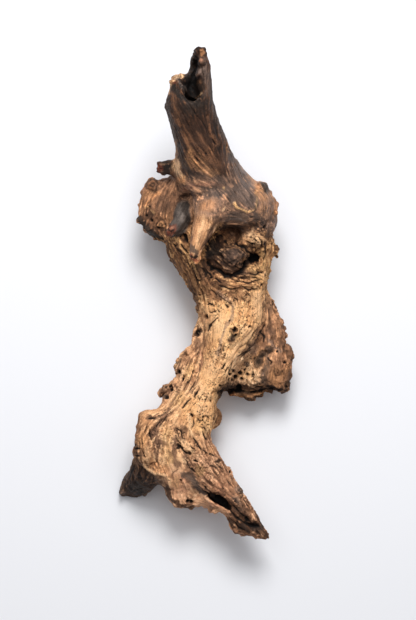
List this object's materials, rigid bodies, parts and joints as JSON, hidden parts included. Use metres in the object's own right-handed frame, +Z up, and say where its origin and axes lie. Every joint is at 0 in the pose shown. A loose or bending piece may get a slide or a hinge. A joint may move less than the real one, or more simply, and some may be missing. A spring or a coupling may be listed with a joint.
{
  "type": "dry root",
  "caption": "Dry, weathered root lying on its side, with a hollow broken trunk, a burl with root stubs, a pale twisted neck, a side lobe and a splayed foot, for display.",
  "frame": {"origin": "under the middle of the root's box, on the ground that its three feet stand on", "axes": "+Z up from the ground, +Y along the root from its splayed foot to its broken trunk, +X to the right of that, the side with the lobe"},
  "size_m": [0.14, 0.3888, 0.1248],
  "materials": {
    "weathered_wood": "dry, worn and matt, from bark brown on the trunk to pale straw on the neck"
  },
  "bodies": {
    "root": {"root_wood": "weathered_wood"}
  },
  "joints": []
}
